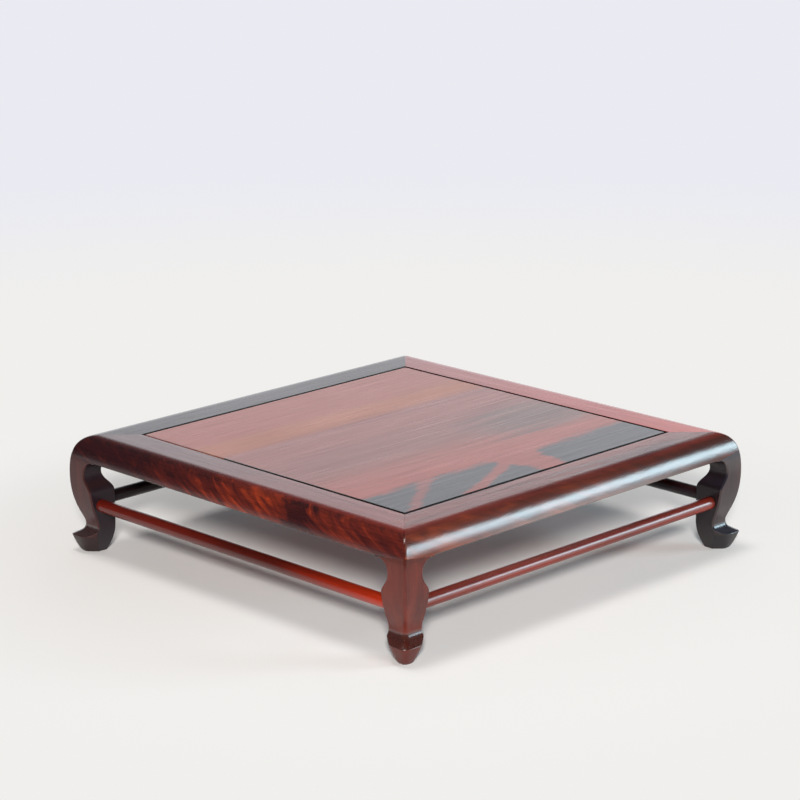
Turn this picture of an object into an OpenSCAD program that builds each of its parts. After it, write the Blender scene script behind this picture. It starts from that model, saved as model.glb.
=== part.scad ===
// Low square hardwood stand: a mitred frame round a floating panel,
// on four curved legs tied by round stretchers.
// The ground is z = 0 and the stand's centre is on the Z axis.

/* [Stand] */
// Side of the stand over its widest line
stand_side = 200; // [185:1:260]
// Height from the ground to the top
stand_height = 50.6; // [48:0.1:70]

/* [Frame] */
// Width of a rail from the panel opening to the widest line
rail_width = 22.2; // [20:0.1:30]
// Thickness of a rail
rail_thickness = 10; // [9:0.1:13]
// How far the rounded edge reaches in over the top of a rail
nose_width = 10; // [6:0.1:12]
// Depth below the top at which the rounded edge comes to the widest line
nose_drop = 17; // [14:0.1:19]
// Radius of the softened lower outer edge of a rail
rail_edge_r = 1.2; // [0.5:0.1:2]
// Width of the tenon that crosses each mitre
mitre_tenon_width = 9; // [5:0.1:10]
// Thickness of the mitre tenon
mitre_tenon_thickness = 2.3; // [1.5:0.1:3]
// Wood left between the end of the mitre tenon and the widest line
mitre_tenon_wall = 5; // [4:0.1:7]

/* [Panel] */
// Thickness of the panel boards
panel_thickness = 5.5; // [4.5:0.1:6.5]
// Open joint between the panel's top edge and the frame
panel_gap = 1; // [0.4:0.1:2]
// How far the panel's tongue reaches into the frame
tongue_reach = 3; // [2:0.1:3.8]
// Thickness of the panel's tongue
tongue_thickness = 2.3; // [1.5:0.1:3]
// Width of the narrow board's top
narrow_board_width = 50; // [30:0.1:70]
// Length of the tongue that joins the two boards
board_tongue_length = 2; // [1:0.1:4]
// Thickness of the tongue that joins the two boards
board_tongue_thickness = 1.4; // [1:0.1:1.8]

/* [Battens] */
// Distance between the two battens' middles
batten_spacing = 76; // [50:1:110]
// Width of a batten
batten_width = 14; // [10:0.1:20]
// How far a batten's underside is set up from the rails' underside
batten_recess = 0.5; // [0.2:0.1:1.2]
// Width of the dovetail key where it leaves the batten
dovetail_neck = 6; // [4:0.1:8]
// Extra width of the dovetail key on each side at its top
dovetail_flare = 0.8; // [0.4:0.1:1.4]
// Height of the dovetail key
dovetail_depth = 1.6; // [1:0.1:2]
// Length of a batten's end tenon
batten_tenon_length = 4; // [2:0.1:6]
// Width of a batten's end tenon
batten_tenon_width = 8; // [5:0.1:9]
// Thickness of a batten's end tenon
batten_tenon_thickness = 1.8; // [1.2:0.1:2.4]

/* [Legs] */
// Width of a leg's face where it flares out under the rail
leg_top_width = 15; // [13.5:0.1:17]
// Width of a leg's face at the neck below the flare
leg_neck_width = 9.7; // [8.5:0.1:11]
// Distance from the widest line to a leg's inner face along its shank
leg_shank_width = 13.5; // [12:0.1:16]
// Height of the flare from the neck to the rail
flare_drop = 5.4; // [3:0.1:7]
// Height of the knee on the inner side, where the shank begins
knee_height = 26.7; // [25.5:0.1:30]
// Height of the ankle
ankle_height = 12.3; // [10.5:0.1:15]
// How far the ankle is set in from the widest line
ankle_inset = 4.3; // [2:0.1:5]
// Height of the toe's upturned tip
toe_height = 7.3; // [5.5:0.1:9]
// Half of the foot's width across the corner, where it is widest
foot_half_width = 7; // [5:0.1:8]
// Height at which the foot is widest across the corner
foot_swell_height = 10; // [8:0.1:10.5]
// Half of the sole's width across the corner
sole_half_width = 3.4; // [2:0.1:4.5]
// How far the sole is set in from the widest line
sole_inset = 3.2; // [2:0.1:5]
// Distance from the widest line to the sole's inner edge
sole_back = 9.3; // [8:0.1:11]
// Rise of the mitred shoulder from the flare's tip to the outer corner
shoulder_rise = 2.2; // [1:0.1:3]
// Length of the long tenon into the rail that carries the battens
long_tenon_length = 5; // [3:0.1:6]
// Length of the short tenon into the other rail
short_tenon_length = 2.5; // [1.5:0.1:3]
// Thickness of both leg tenons
leg_tenon_thickness = 3; // [2:0.1:3.6]
// Wood left between a leg tenon and the widest line
leg_tenon_inset = 3.4; // [3:0.1:4.4]
// Shoulder left between the flare's tip and a leg tenon
leg_tenon_set = 2.8; // [1.5:0.1:3.6]

/* [Stretchers] */
// Diameter of a stretcher
stretcher_d = 5.5; // [4.5:0.1:7]
// Height of a stretcher's axis
stretcher_height = 21.2; // [18:0.1:22.5]
// Distance from the widest line to a stretcher's axis
stretcher_inset = 6; // [5:0.1:7]
// Diameter of the round tenon at each end of a stretcher
round_tenon_d = 3.6; // [2.5:0.1:4.2]
// Length of the round tenon
round_tenon_length = 3; // [1.5:0.1:3.4]

/* [Fits] */
// Play at each side of a tenon or a tongue
side_play = 0.1; // [0.05:0.01:0.2]
// Room left beyond the end of a tenon or a tongue
end_play = 0.3; // [0.1:0.05:0.5]
// Least wood left between two joints that pass each other
joint_web = 0.8; // [0.5:0.1:1.2]

/* [Hidden] */

// Levels
rail_z = stand_height - rail_thickness;
panel_z = stand_height - panel_thickness;
widest_z = stand_height - nose_drop;
neck_z = rail_z - flare_drop;

// Distances from the centre
half = stand_side / 2;
opening_half = half - rail_width;
panel_half = opening_half - panel_gap;
tongue_half = opening_half + tongue_reach;
groove_half = tongue_half + end_play;
board_joint_x = narrow_board_width - panel_half;
flare_in = half - leg_top_width;
neck_in = half - leg_neck_width;
shank_in = half - leg_shank_width;
sole_in = half - sole_back;
ankle_out = half - ankle_inset;
sole_out = half - sole_inset;
nose_in = half - nose_width;
stretcher_axis = half - stretcher_inset;

// Joints
shoulder_slope = shoulder_rise / leg_top_width;
leg_tenon_out = half - leg_tenon_inset;
leg_tenon_in = leg_tenon_out - leg_tenon_thickness;
leg_tenon_start = flare_in + leg_tenon_set;
leg_tenon_end = leg_tenon_in - 2 * joint_web;
mitre_tenon_in = groove_half + joint_web;
mitre_tenon_end = half - mitre_tenon_wall;
mitre_tenon_z = rail_z + short_tenon_length + end_play + joint_web + side_play;
batten_z = rail_z + batten_recess;
batten_tenon_z = (batten_z + panel_z - batten_tenon_thickness) / 2;
board_tongue_z = (panel_z + dovetail_depth + stand_height - board_tongue_thickness) / 2;

// Shape of each curve, as shares of its own run and rise
nose_pull = [0.8, 0.635];
shank_pull = [0.135, 0.64];
scoop_pull = [0.63, 0.4, 0.6];
toe_pull = [0.54, 0.28, 0.89, 0.76];
heel_pull = [0.4, 0.55, 0.24];
knee_pull = [0.48, 0.38];
foot_pull = [0.39, 0.29, 0.62];

// Room past a face, so that a cut runs clear of it
over = 1;
curve_steps = 12;
short_curve_steps = 6;
$fn = 48;

function bezier(a, b, c, d, steps) = [
  for (i = [0:steps])
    let (t = i / steps, s = 1 - t)
    s * s * s * a + 3 * s * s * t * b + 3 * s * t * t * c + t * t * t * d
];

function arc(centre, radii, start, turn, steps) = [
  for (i = [0:steps])
    let (angle = start + turn * i / steps)
    centre + [radii[0] * cos(angle), radii[1] * sin(angle)]
];

function without_first(points) = [for (i = [1:len(points) - 1]) points[i]];

// Outer line of a leg from the sole up, as distance from the centre and height
toe_line = bezier(
  [sole_out, 0],
  [sole_out + toe_pull[0] * sole_inset, toe_pull[1] * toe_height],
  [sole_out + toe_pull[2] * sole_inset, toe_pull[3] * toe_height],
  [half, toe_height], short_curve_steps);

scoop_rise = ankle_height - toe_height;
scoop_line = bezier(
  [half, toe_height],
  [half - scoop_pull[0] * ankle_inset, toe_height + scoop_pull[1] * scoop_rise],
  [ankle_out, ankle_height - scoop_pull[2] * scoop_rise],
  [ankle_out, ankle_height], short_curve_steps);

shank_rise = widest_z - ankle_height;
shank_line = bezier(
  [ankle_out, ankle_height],
  [ankle_out, ankle_height + shank_pull[0] * shank_rise],
  [half, widest_z - shank_pull[1] * shank_rise],
  [half, widest_z], curve_steps);

// Rounded edge of the frame, which the legs carry on
nose_line = bezier(
  [half, widest_z],
  [half, widest_z + nose_pull[1] * nose_drop],
  [nose_in + nose_pull[0] * nose_width, stand_height],
  [nose_in, stand_height], curve_steps);

// Inner line of a leg from the flare down
flare_run = leg_top_width - leg_neck_width;
flare_line = arc([flare_in, neck_z], [flare_run, flare_drop], 90, -90, short_curve_steps);

knee_drop = neck_z - knee_height;
knee_line = bezier(
  [neck_in, neck_z],
  [neck_in, neck_z - knee_pull[0] * knee_drop],
  [shank_in, knee_height + knee_pull[1] * knee_drop],
  [shank_in, knee_height], curve_steps);

heel_run = sole_in - shank_in;
heel_line = bezier(
  [shank_in, ankle_height],
  [shank_in, ankle_height - heel_pull[0] * ankle_height],
  [sole_in - heel_pull[1] * heel_run, heel_pull[2] * ankle_height],
  [sole_in, 0], short_curve_steps);

leg_outline = concat(
  toe_line, without_first(scoop_line), without_first(shank_line), without_first(nose_line),
  [[flare_in, stand_height]], flare_line, without_first(knee_line), heel_line);

// Half of the foot seen across the corner, from the sole up
foot_spread = foot_half_width - sole_half_width;
foot_side = bezier(
  [sole_half_width, 0],
  [sole_half_width + foot_pull[0] * foot_spread, foot_pull[1] * foot_swell_height],
  [foot_half_width, foot_pull[2] * foot_swell_height],
  [foot_half_width, foot_swell_height], short_curve_steps);

// Outer face of a rail at a height
function face_at(z) = lookup(z, [for (p = nose_line) [p[1], p[0]]]);

// Draws a shape of (x, z) and runs it along Y
module along_y(from, to) {
  translate([0, to, 0]) rotate([90, 0, 0]) linear_extrude(to - from) children();
}

// Draws a shape of (y, z) and runs it along X
module along_x(from, to) {
  rotate([0, 0, 90]) along_y(-to, -from) children();
}

// A block between two corners
module block(low, high) {
  translate(low) cube(high - low);
}

// The same thing at both ends of a rail or on both sides of the stand
module both_ways(axis) {
  children();
  mirror(axis) children();
}

// A rail on the +X side, whole, before its joints are cut
module rail_blank() {
  edge_z = rail_z + rail_edge_r;
  edge_in = face_at(edge_z) - rail_edge_r;
  difference() {
    intersection() {
      translate([0, 0, rail_z]) linear_extrude(rail_thickness + over) polygon([
        [opening_half, -opening_half], [half + over, -half - over],
        [half + over, half + over], [opening_half, opening_half]]);
      along_y(-half - over, half + over)
        polygon(concat(nose_line, [[opening_half - over, stand_height], [opening_half - over, widest_z]]));
    }
    along_y(-flare_in, flare_in) polygon(concat(
      arc([edge_in, edge_z], [rail_edge_r, rail_edge_r], 270, 90, short_curve_steps),
      [[half + over, edge_z], [half + over, rail_z - over], [edge_in, rail_z - over]]));
    along_y(-half - over, half + over)
      translate([opening_half - over, panel_z])
        square([groove_half - opening_half + over, tongue_thickness + side_play]);
    both_ways([0, 1, 0]) along_x(opening_half, half + over) polygon([
      [flare_in, rail_z], [half + over, rail_z + shoulder_slope * (leg_top_width + over)],
      [half + over, rail_z - over], [flare_in, rail_z - over]]);
  }
}

// Mortises for the leg tenons, at both ends of a rail on the +X side
module leg_mortises(depth) {
  both_ways([0, 1, 0]) block(
    [leg_tenon_in - side_play, leg_tenon_start - side_play, rail_z - over],
    [leg_tenon_out + side_play, leg_tenon_end + side_play, rail_z + depth + end_play]);
}

// A rail that runs the way of the panel's grain: tenons across the mitres, mortises for the battens
module long_rail() {
  batten_tenon_from = (batten_spacing - batten_tenon_width) / 2;
  difference() {
    union() {
      rail_blank();
      both_ways([0, 1, 0]) block(
        [mitre_tenon_in, opening_half, mitre_tenon_z],
        [mitre_tenon_in + mitre_tenon_width, mitre_tenon_end, mitre_tenon_z + mitre_tenon_thickness]);
    }
    leg_mortises(long_tenon_length);
    both_ways([0, 1, 0]) block(
      [opening_half - over, batten_tenon_from - side_play, batten_tenon_z - side_play],
      [opening_half + batten_tenon_length + end_play,
        batten_tenon_from + batten_tenon_width + side_play,
        batten_tenon_z + batten_tenon_thickness + side_play]);
  }
}

// A rail across the panel's ends: mortises at the mitres
module end_rail() {
  difference() {
    rail_blank();
    leg_mortises(short_tenon_length);
    both_ways([0, 1, 0]) block(
      [opening_half, mitre_tenon_in - side_play, mitre_tenon_z - side_play],
      [mitre_tenon_end + end_play, mitre_tenon_in + mitre_tenon_width + side_play,
        mitre_tenon_z + mitre_tenon_thickness + side_play]);
  }
}

module rail_front_right() {
  color("#6b2f28") long_rail();
}

module rail_back_left() {
  color("#4a2b28") rotate([0, 0, 180]) long_rail();
}

module rail_front_left() {
  color("#5c1f18") rotate([0, 0, -90]) end_rail();
}

module rail_back_right() {
  color("#8a3a34") rotate([0, 0, 90]) end_rail();
}

// A dovetail section of (y, z): its neck is at the panel's underside and runs on below it
module dovetail(play) {
  neck = dovetail_neck / 2 + play;
  top_z = panel_z + dovetail_depth + play;
  polygon([
    [-neck, panel_z - over], [neck, panel_z - over], [neck, panel_z],
    [neck + dovetail_flare, top_z], [-neck - dovetail_flare, top_z], [-neck, panel_z]]);
}

// A board between two x places, tongued into the frame at its ends and between the tongue places
module board(low, high, tongue_low, tongue_high) {
  difference() {
    union() {
      block([low, -panel_half, panel_z], [high, panel_half, stand_height]);
      block([tongue_low, -tongue_half, panel_z], [tongue_high, tongue_half, panel_z + tongue_thickness]);
    }
    both_ways([0, 1, 0]) translate([0, batten_spacing / 2, 0])
      along_x(-half, half) dovetail(side_play);
  }
}

module panel_board_wide() {
  color("#8c4236") union() {
    board(board_joint_x, panel_half, board_joint_x, tongue_half);
    block(
      [board_joint_x - board_tongue_length, -panel_half, board_tongue_z],
      [board_joint_x, panel_half, board_tongue_z + board_tongue_thickness]);
  }
}

module panel_board_narrow() {
  color("#a4503c") difference() {
    board(-panel_half, board_joint_x, -tongue_half, board_joint_x);
    block(
      [board_joint_x - board_tongue_length - end_play, -half, board_tongue_z - side_play],
      [board_joint_x + over, half, board_tongue_z + board_tongue_thickness + side_play]);
  }
}

// A batten across the panel's grain, keyed into the boards and tenoned into the long rails
module batten() {
  block([-opening_half, -batten_width / 2, batten_z], [opening_half, batten_width / 2, panel_z]);
  along_x(-panel_half, panel_half) dovetail(0);
  block(
    [-opening_half - batten_tenon_length, -batten_tenon_width / 2, batten_tenon_z],
    [opening_half + batten_tenon_length, batten_tenon_width / 2, batten_tenon_z + batten_tenon_thickness]);
}

module batten_front() {
  color("#5a2a22") translate([0, -batten_spacing / 2, 0]) union() batten();
}

module batten_back() {
  color("#5a2a22") translate([0, batten_spacing / 2, 0]) union() batten();
}

// The leg at the +X +Y corner: the same outline sawn from both faces, with the foot's sides trimmed
module leg() {
  inside = min(flare_in, shank_in) - over;
  outside = half + over;
  difference() {
    union() {
      intersection() {
        along_y(inside, outside) polygon(leg_outline);
        along_x(inside, outside) polygon(leg_outline);
        along_y(inside, outside) leg_top_limit();
        along_x(inside, outside) leg_top_limit();
        rotate([0, 0, -45]) along_y(0, 2 * half) foot_limit();
      }
      block(
        [leg_tenon_in, leg_tenon_start, rail_z],
        [leg_tenon_out, leg_tenon_end, rail_z + long_tenon_length]);
      block(
        [leg_tenon_start, leg_tenon_in, rail_z],
        [leg_tenon_end, leg_tenon_out, rail_z + short_tenon_length]);
    }
    round_mortise();
    mirror([1, -1, 0]) round_mortise();
  }
}

// Everything under one slope of the mitred shoulder, as a shape of (x, z)
module leg_top_limit() {
  reach = leg_top_width + over;
  polygon([
    [0, -over], [half + over, -over], [half + over, rail_z + shoulder_slope * reach],
    [flare_in, rail_z], [0, rail_z]]);
}

// The foot's outline across the corner, open above the ankle
module foot_limit() {
  side = concat(foot_side, [[foot_half_width, ankle_height], [half, ankle_height + half]]);
  polygon(concat(side, [for (i = [len(side) - 1:-1:0]) [-side[i][0], side[i][1]]]));
}

// Blind bore in a leg for the stretcher that runs along Y
module round_mortise() {
  translate([stretcher_axis, shank_in - over, stretcher_height]) rotate([-90, 0, 0])
    cylinder(d = round_tenon_d + side_play, h = over + round_tenon_length + end_play);
}

module leg_right() {
  color("#5e3b38") leg();
}

module leg_back() {
  color("#4c302e") mirror([1, 0, 0]) leg();
}

module leg_left() {
  color("#5a3836") rotate([0, 0, 180]) leg();
}

module leg_front() {
  color("#744640") mirror([0, 1, 0]) leg();
}

// A stretcher on the +X side, with a round tenon at each end
module stretcher() {
  length = 2 * shank_in;
  translate([stretcher_axis, 0, stretcher_height]) rotate([90, 0, 0]) union() {
    cylinder(d = stretcher_d, h = length, center = true);
    cylinder(d = round_tenon_d, h = length + 2 * round_tenon_length, center = true);
  }
}

module stretcher_front_right() {
  color("#a34038") stretcher();
}

module stretcher_back_left() {
  color("#4c302e") rotate([0, 0, 180]) stretcher();
}

module stretcher_front_left() {
  color("#b03a24") rotate([0, 0, -90]) stretcher();
}

module stretcher_back_right() {
  color("#4c302e") rotate([0, 0, 90]) stretcher();
}

rail_front_right();
rail_back_left();
rail_front_left();
rail_back_right();
panel_board_wide();
panel_board_narrow();
batten_front();
batten_back();
leg_front();
leg_right();
leg_back();
leg_left();
stretcher_front_right();
stretcher_back_left();
stretcher_front_left();
stretcher_back_right();
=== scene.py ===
import math

import bmesh
import bpy
from mathutils import Matrix, Vector


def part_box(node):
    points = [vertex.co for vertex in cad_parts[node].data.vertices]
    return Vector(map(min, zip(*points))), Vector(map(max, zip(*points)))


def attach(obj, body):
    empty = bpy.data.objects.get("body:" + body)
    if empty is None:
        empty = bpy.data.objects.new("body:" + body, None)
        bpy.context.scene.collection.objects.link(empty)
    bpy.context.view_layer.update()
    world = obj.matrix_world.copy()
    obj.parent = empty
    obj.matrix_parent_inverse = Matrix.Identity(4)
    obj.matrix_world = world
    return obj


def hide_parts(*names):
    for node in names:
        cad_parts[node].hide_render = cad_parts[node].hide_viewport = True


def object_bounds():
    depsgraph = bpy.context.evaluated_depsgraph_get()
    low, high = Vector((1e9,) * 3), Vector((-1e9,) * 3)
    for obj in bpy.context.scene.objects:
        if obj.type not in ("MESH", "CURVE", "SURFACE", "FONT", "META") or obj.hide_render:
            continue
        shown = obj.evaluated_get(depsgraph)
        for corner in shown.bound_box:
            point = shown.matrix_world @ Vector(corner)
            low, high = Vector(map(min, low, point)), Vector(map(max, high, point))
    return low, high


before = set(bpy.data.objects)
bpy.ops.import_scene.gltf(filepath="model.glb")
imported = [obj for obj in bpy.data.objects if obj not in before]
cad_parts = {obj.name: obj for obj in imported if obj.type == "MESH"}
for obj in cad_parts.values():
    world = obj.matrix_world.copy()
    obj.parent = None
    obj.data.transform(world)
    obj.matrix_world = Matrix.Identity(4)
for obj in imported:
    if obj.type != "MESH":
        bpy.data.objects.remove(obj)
cadBox = [[float(v) for v in corner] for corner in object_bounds()]
mm = 0.001
hair = 1e-6  # two places closer than this are the same place
near = 1e-5  # what lies closer than this to a plane counts as on it
straightOn = 0.9  # a face looks a way when its normal comes this close to it
smoothAngle = math.radians(35)  # edges sharper than this stay crisp
halfSide, topZ = cadBox[1][0], cadBox[1][2]
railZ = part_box("rail_front_right")[0].z
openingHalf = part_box("rail_front_right")[0].x
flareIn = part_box("leg_right")[0].x
print("frame loaded:", len(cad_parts), "nodes")


# small helpers for modelling


def clearSelection():
    if bpy.context.object and bpy.context.object.mode != "OBJECT":
        bpy.ops.object.mode_set(mode="OBJECT")
    bpy.ops.object.select_all(action="DESELECT")


def selectOnly(piece):
    clearSelection()
    piece.select_set(True)
    bpy.context.view_layer.objects.active = piece


def openForEdit(name):  # the active object takes its name and opens in edit mode
    piece = bpy.context.object
    piece.name = piece.data.name = name
    bpy.ops.object.mode_set(mode="EDIT")
    bpy.ops.mesh.select_mode(type="VERT")
    bpy.ops.mesh.select_all(action="SELECT")
    return piece


def pick(piece, kind, test):  # selects the verts, edges or faces that pass a test of place or normal
    bpy.ops.mesh.select_mode(type={"verts": "VERT", "edges": "EDGE", "faces": "FACE"}[kind])
    bpy.ops.mesh.select_all(action="DESELECT")
    mesh = bmesh.from_edit_mesh(piece.data)
    for part in getattr(mesh, kind):
        if test(part):
            part.select_set(True)
    mesh.select_flush_mode()
    bmesh.update_edit_mesh(piece.data)


def slide(offset):
    bpy.ops.transform.translate(value=tuple(offset))


def extrude(offset):
    bpy.ops.mesh.extrude_region_move(TRANSFORM_OT_translate={"value": tuple(offset)})


def bevelEdges(width, segments, clamp=False):
    bpy.ops.mesh.bevel(offset=width, segments=segments, affect="EDGES", clamp_overlap=clamp)


def turnOutwards():
    bpy.ops.mesh.select_all(action="SELECT")
    bpy.ops.mesh.normals_make_consistent(inside=False)


def sliceAll(place, normal, keep="both"):  # cuts the whole mesh by a plane and may drop the side behind it
    bpy.ops.mesh.select_all(action="SELECT")
    bpy.ops.mesh.bisect(plane_co=tuple(place), plane_no=tuple(normal), threshold=hair,
                        use_fill=keep == "front", clear_inner=keep == "front")


def drawLine(name, points):  # a plane shrinks to the first point, which is pulled along a closed line
    clearSelection()
    bpy.ops.mesh.primitive_plane_add(size=mm, location=points[0])
    bpy.ops.object.transform_apply(location=True, rotation=True, scale=True)
    piece = openForEdit(name)
    bpy.ops.mesh.merge(type="CENTER")
    for here, there in zip(points, points[1:]):
        extrude(Vector(there) - Vector(here))
    ends = [Vector(points[0]), Vector(points[-1])]
    pick(piece, "verts", lambda v: min((v.co - end).length for end in ends) < hair)
    bpy.ops.mesh.edge_face_add()
    return piece


def fillLine():  # the closed line becomes a face
    bpy.ops.mesh.select_all(action="SELECT")
    bpy.ops.mesh.edge_face_add()


def removeAll(pieces):
    clearSelection()
    for piece in pieces:
        piece.select_set(True)
    bpy.ops.object.delete()


def copyOf(piece, name, turn=0.0):  # a copy with its own mesh, turned about the stand's axis
    selectOnly(piece)
    bpy.ops.object.duplicate(linked=False)
    twin = bpy.context.object
    twin.name = twin.data.name = name
    twin.rotation_euler.z = turn
    bpy.ops.object.transform_apply(location=True, rotation=True, scale=True)
    return twin


def finishPiece(piece):  # smooth over soft edges, flat faces keep their own shading
    selectOnly(piece)
    bpy.ops.object.shade_smooth_by_angle(angle=smoothAngle)
    bpy.ops.object.modifier_add(type="WEIGHTED_NORMAL")
    piece.modifiers[-1].keep_sharp = True
    bpy.ops.object.modifier_apply(modifier=piece.modifiers[-1].name)
    return piece


def curve(start, end, pulls, steps):  # points along a Bezier curve, with its pulls as shares of the way
    first, second = (tuple(a + (b - a) * k for a, b, k in zip(start, end, pull)) for pull in pulls)
    knots = (start, first, second, end)
    points = []
    for i in range(steps + 1):
        t = i / steps
        shares = ((1 - t) ** 3, 3 * (1 - t) ** 2 * t, 3 * (1 - t) * t * t, t ** 3)
        points.append(tuple(sum(k * p[n] for k, p in zip(shares, knots)) for n in (0, 1)))
    return points


def reachAt(line, z):  # distance from the axis at a height, on a line of (distance, height) points
    for (a, low), (b, high) in zip(line, line[1:]):
        if min(low, high) - hair <= z <= max(low, high) + hair:
            return a if abs(high - low) < hair else a + (b - a) * (z - low) / (high - low)
    return line[0][0] if abs(z - line[0][1]) < abs(z - line[-1][1]) else line[-1][0]


# frame: four mitred rails with a rounded outer edge

rails = {
    "noseWidth": 10 * mm, "noseDrop": 17 * mm, "noseCurve": (((0, 0.635), (0.2, 1)), 44),  # pulls and steps
    "grooveDepth": 3.3 * mm, "grooveLow": 4.5 * mm, "grooveHigh": 6.9 * mm,  # heights above the underside
    "innerEase": 0.4 * mm, "easeBow": 0.3, "cornerRound": 1.0 * mm, "cornerRoundFrom": 1.5 * mm,
    "lowerRound": 1.2 * mm, "lowerClear": 0.2 * mm, "roundParts": 4, "roundEndsBefore": 2 * mm,
    "mitreHairline": 0.04 * mm, "shoulderRise": 2.2 * mm,
    "mergeWithin": near / 2, "edgeWithin": near * 5,  # for the merging of points and the finding of an edge
    "pieces": (("railFrontRight", "rail_front_right", 0), ("railBackRight", "rail_back_right", 90),
               ("railBackLeft", "rail_back_left", 180), ("railFrontLeft", "rail_front_left", 270)),
}
widestZ = topZ - rails["noseDrop"]
noseIn = halfSide - rails["noseWidth"]
shoulderSlope = rails["shoulderRise"] / (halfSide - flareIn)
noseLine = curve((halfSide, widestZ), (noseIn, topZ), *rails["noseCurve"])


def makeFrameRing():
    ease, groove = rails["innerEase"], openingHalf + rails["grooveDepth"]
    bow = rails["easeBow"] * ease
    low, high = railZ + rails["grooveLow"], railZ + rails["grooveHigh"]
    outer = [p for p in noseLine if p[1] > railZ + rails["lowerRound"] + rails["lowerClear"]]
    section = [(reachAt(noseLine, railZ), railZ)] + outer
    section += [(openingHalf + ease, topZ), (openingHalf + bow, topZ - bow), (openingHalf, topZ - ease)]
    section += [(openingHalf, high), (groove, high), (groove, low), (openingHalf, low), (openingHalf, railZ)]
    ring = drawLine("frameRing", [(a, -a, z) for a, z in section])  # drawn on the corner's own plane
    bpy.ops.mesh.select_all(action="SELECT")
    bpy.ops.mesh.spin(steps=4, angle=2 * math.pi, center=(0, 0, 0), axis=(0, 0, 1))
    bpy.ops.mesh.select_all(action="SELECT")
    bpy.ops.mesh.remove_doubles(threshold=near)
    turnOutwards()
    roundFrom = noseIn + rails["cornerRoundFrom"]
    pick(ring, "edges", lambda e: e.calc_length() < rails["noseWidth"] and all(
        abs(abs(v.co.x) - abs(v.co.y)) < near and abs(v.co.x) > roundFrom for v in e.verts))
    bevelEdges(rails["cornerRound"], rails["roundParts"], clamp=True)
    clearSelection()
    return ring


def makeRail(ring, name, degrees):
    out = Vector((round(math.cos(math.radians(degrees))), round(math.sin(math.radians(degrees))), 0))
    along, up = Vector((-out.y, out.x, 0)), Vector((0, 0, 1))
    rail = copyOf(ring, name)
    openForEdit(name)
    for way in (1, -1):  # mitres
        sliceAll(out * rails["mitreHairline"], out + along * way, keep="front")
    for way in (1, -1):  # shoulders that sit on the legs
        sliceAll(along * way * flareIn + up * railZ, up - along * way * shoulderSlope, keep="front")
    roundEnd = flareIn - rails["roundEndsBefore"]
    for way in (1, -1):  # where the rounding of the lower edge ends
        sliceAll(along * way * roundEnd, along)
    bpy.ops.mesh.select_all(action="SELECT")
    bpy.ops.mesh.remove_doubles(threshold=rails["mergeWithin"])
    edgeOut = reachAt(noseLine, railZ)
    pick(rail, "edges", lambda e: all(
        abs(v.co.z - railZ) < near and abs(v.co.dot(out) - edgeOut) < rails["edgeWithin"]
        and abs(v.co.dot(along)) < roundEnd + near for v in e.verts))
    bevelEdges(rails["lowerRound"], rails["roundParts"])
    return finishPiece(rail)


frameRing = makeFrameRing()
railPieces = {node: makeRail(frameRing, name, degrees) for name, node, degrees in rails["pieces"]}
removeAll([frameRing])
print("frame: four rails")


# legs: grown ring by ring from the sole, six corners to a ring

legs = {
    "neckWidth": 9.7 * mm, "shankWidth": 13.5 * mm, "flareDrop": 5.4 * mm, "kneeHeight": 26.7 * mm,
    "ankleHeight": 12.3 * mm, "ankleInset": 4.3 * mm, "toeHeight": 7.3 * mm, "soleInset": 2.95 * mm,
    "soleBack": 10.6 * mm, "footHalf": 7 * mm, "soleHalf": 3 * mm, "footSwell": 10 * mm,
    # pulls and steps of the curves, from the sole up the outer face, up the inner face, and across the foot
    "toeCurve": (((0.45, 0.28), (0.84, 0.76)), 24), "scoopCurve": (((0.74, 0.4), (1, 0.4)), 24),
    "shankCurve": (((0, 0.135), (1, 0.36)), 32), "heelCurve": (((0.4, 0.24), (1, 0.52)), 24),
    "neckCurve": (((0, 0.38), (1, 0.52)), 32), "flareSteps": 30, "footCurve": (((0.39, 0.29), (1, 0.62)), 24),
    "sideChamfer": 0.55 * mm, "innerRound": 0.2 * mm, "backRound": 0.5 * mm,
    "lipRound": 0.22 * mm, "lipReach": 13 * mm, "soleRound": 0.35 * mm, "roundParts": 2,
    # how far the front and the side arrises are rounded, each against height
    "frontRound": ((2.2 * mm, 0), (2.7 * mm, 7 * mm), (2.2 * mm, 10 * mm), (1.5 * mm, 13 * mm),
                   (1.4 * mm, 27 * mm), (1.0 * mm, 38 * mm), (1.0 * mm, 43 * mm)),
    "sideRound": ((1.2 * mm, 0), (2.4 * mm, 4 * mm), (2.8 * mm, 7.3 * mm), (1.6 * mm, 8.3 * mm),
                  (0.4 * mm, 9.3 * mm), (0.12 * mm, 12 * mm), (0.12 * mm, 43 * mm)),
    "roundMakeUp": 0.25,  # a rounder front arris is moved out by this share, so that it stays where it was
    "ringCounts": (3, 5, 5, 5, 3, 5),
    # heights of the rings in millimetres
    "levels": (0.8, 1.8, 3, 4.2, 5.3, 6.3, 6.9, 7.3, 7.5, 7.8, 8.2, 8.7, 9.3, 10, 10.8, 11.6, 12.3, 13.2,
               14.2, 15.3, 16.5, 17.8, 19.1, 20.4, 21.7, 23, 24.3, 25.5, 26.7, 27.2, 27.7, 28.3, 28.9, 29.5,
               30.1, 30.8, 31.5, 32.3, 33.2, 34.2, 35.2, 36, 36.8, 37.5, 38.2, 38.8, 39.3, 39.7, 40, 40.25,
               40.45, 40.55),
    "pieces": (("legRight", "leg_right", 0), ("legBack", "leg_back", 90),
               ("legLeft", "leg_left", 180), ("legFront", "leg_front", 270)),
}


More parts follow.
